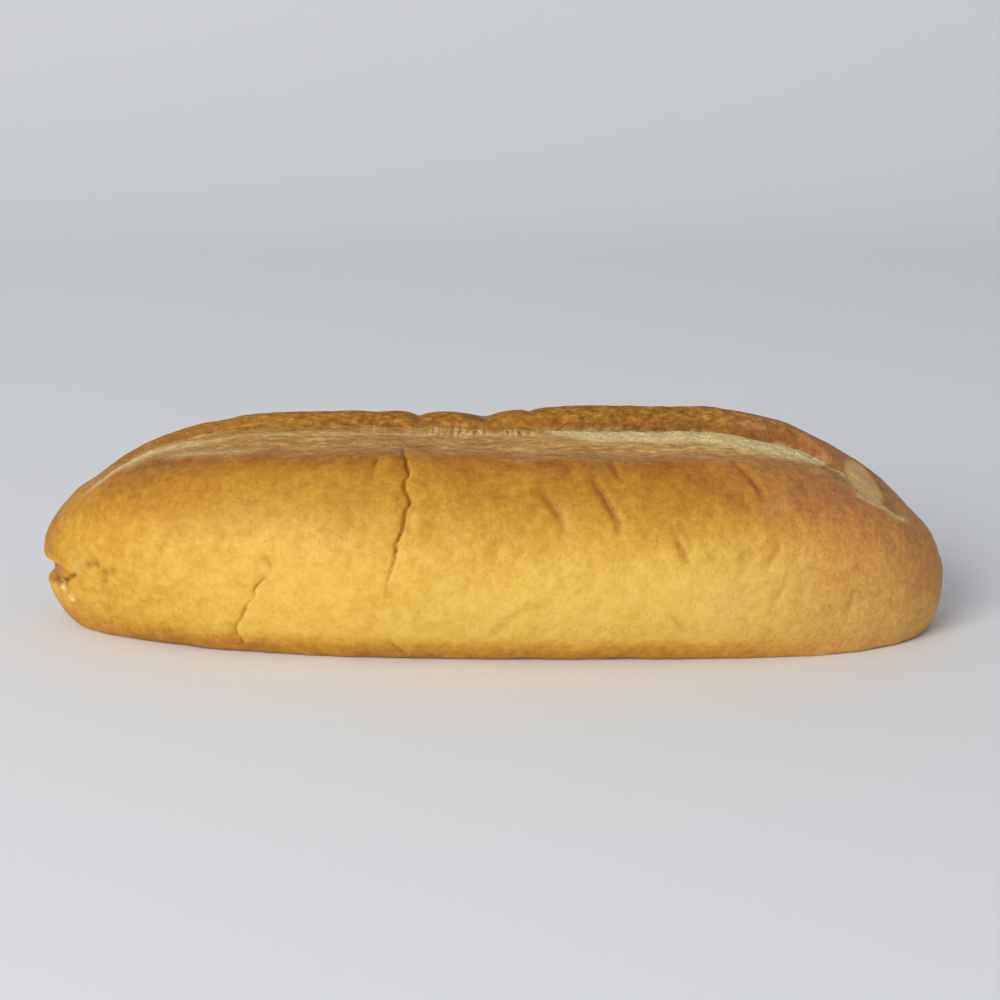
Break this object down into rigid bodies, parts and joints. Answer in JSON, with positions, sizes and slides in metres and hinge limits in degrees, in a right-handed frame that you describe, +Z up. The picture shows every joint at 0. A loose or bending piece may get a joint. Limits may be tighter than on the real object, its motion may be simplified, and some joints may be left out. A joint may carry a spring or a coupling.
{
  "type": "italian bread loaf",
  "caption": "Whole uncut Italian bread loaf, long and domed, with a lengthwise slash, a raised crust lip along it and a flat base to rest on.",
  "frame": {"origin": "centre of the loaf's bounding box, on the plane of its flat base", "axes": "+Z up, +X along the loaf towards its browner, lower end, and -Y towards the side from which the open slash is seen, with the slash's raised lip behind it"},
  "size_m": [0.33, 0.118, 0.0792],
  "materials": {
    "crust": null
  },
  "bodies": {
    "root": {"loaf": "crust"}
  },
  "joints": []
}
